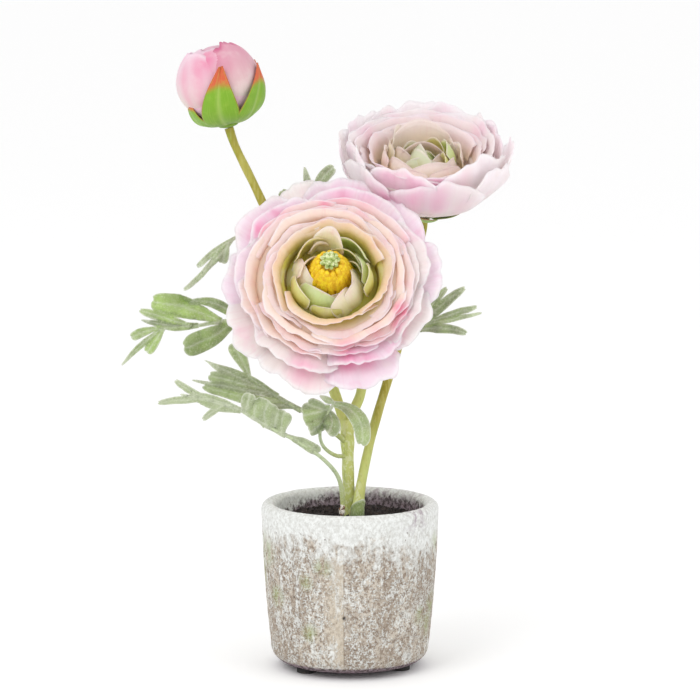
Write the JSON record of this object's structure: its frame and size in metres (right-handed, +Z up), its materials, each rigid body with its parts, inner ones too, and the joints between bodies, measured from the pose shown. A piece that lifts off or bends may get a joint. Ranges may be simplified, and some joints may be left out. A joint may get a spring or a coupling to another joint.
{
  "type": "potted ranunculus",
  "caption": "Potted ranunculus with open pink flowers, a bud and cut grey-green leaves in a round weathered cement pot.",
  "frame": {"origin": "on the surface that the feet stand on, under the middle of the whole plant's box", "axes": "+Z up, -Y towards the side that the front flower faces, +X to the viewer's right"},
  "size_m": [0.1962, 0.1304, 0.3132],
  "materials": {
    "cement": "rough weathered cement, whitish at the rim and mottled taupe below",
    "pad_rubber": "matt black rubber pads",
    "stem": "smooth yellow-green stem with a soft sheen",
    "leaf": "grey-green felted leaf with whitish hairs and ribs",
    "soil": "dark crumbly soil",
    "front_petal": "pale pink petal, peach inside, pinker at the rim",
    "front_heart": "pale green cupped petal with cream edges",
    "stamen": "dense yellow flock",
    "pistil": "knobbly pale green",
    "sepal": "green sepal with a red-brown tip",
    "side_petal": "pale pink to lavender petal, peach inside",
    "side_heart": "grey-green folded petals with a pinkish rim",
    "bud_petal": "pink petal, paler towards the base",
    "bud_sepal": "fresh green sepal with a red-orange tip"
  },
  "bodies": {
    "root": {"pot": "cement", "foot_left": "pad_rubber", "foot_right": "pad_rubber", "foot_back": "pad_rubber", "stem_trunk": "stem", "stem_right": "stem", "leaf_left": "leaf", "leaf_upper_left": "leaf", "leaf_low": "leaf", "leaf_base": "leaf", "leaf_centre": "leaf", "leaf_right": "leaf", "leaf_top": "leaf", "soil": "soil", "front_petals": "front_petal", "front_heart": "front_heart", "front_stamens": "stamen", "front_pistil": "pistil", "front_sepals": "sepal", "side_petals": "side_petal", "side_heart": "side_heart", "side_sepals": "sepal", "bud_petals": "bud_petal", "bud_sepals": "bud_sepal"}
  },
  "joints": []
}
